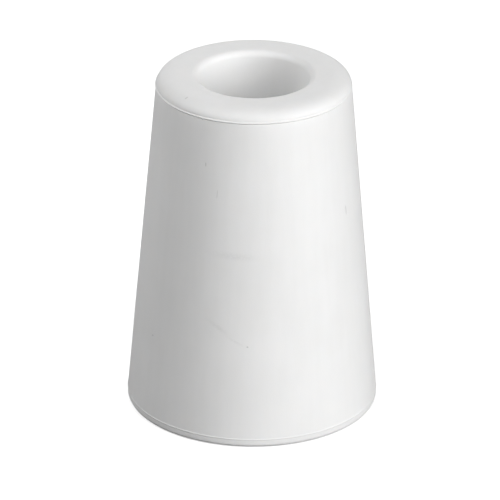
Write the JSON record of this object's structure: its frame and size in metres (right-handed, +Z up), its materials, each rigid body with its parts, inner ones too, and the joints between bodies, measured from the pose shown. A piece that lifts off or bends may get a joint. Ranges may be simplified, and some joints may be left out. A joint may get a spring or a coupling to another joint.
{
  "type": "door stop",
  "caption": "Tall tapered rubber door stop with a rounded shoulder and a deep central recess that holds its fixing screw.",
  "frame": {"origin": "centre of the base, on the surface that the stop stands on", "axes": "+Z up along the stop's axis, from the wide base to the recess in the top"},
  "size_m": [0.0538, 0.0538, 0.075],
  "materials": {
    "white_rubber": "smooth matt moulded rubber",
    "washer_steel": "plain stamped steel, dull zinc plate",
    "screw_steel": "bright zinc plate"
  },
  "bodies": {
    "stop": {"rubber_body": "white_rubber", "reinforcing_washer": "washer_steel"},
    "screw": {"fixing_screw": "screw_steel"}
  },
  "joints": [
    {"name": "screw_drive", "type": "slide", "parent": "stop", "child": "screw", "axis": [0, 0, -1], "range_m": [0, 0.04845]}
  ]
}
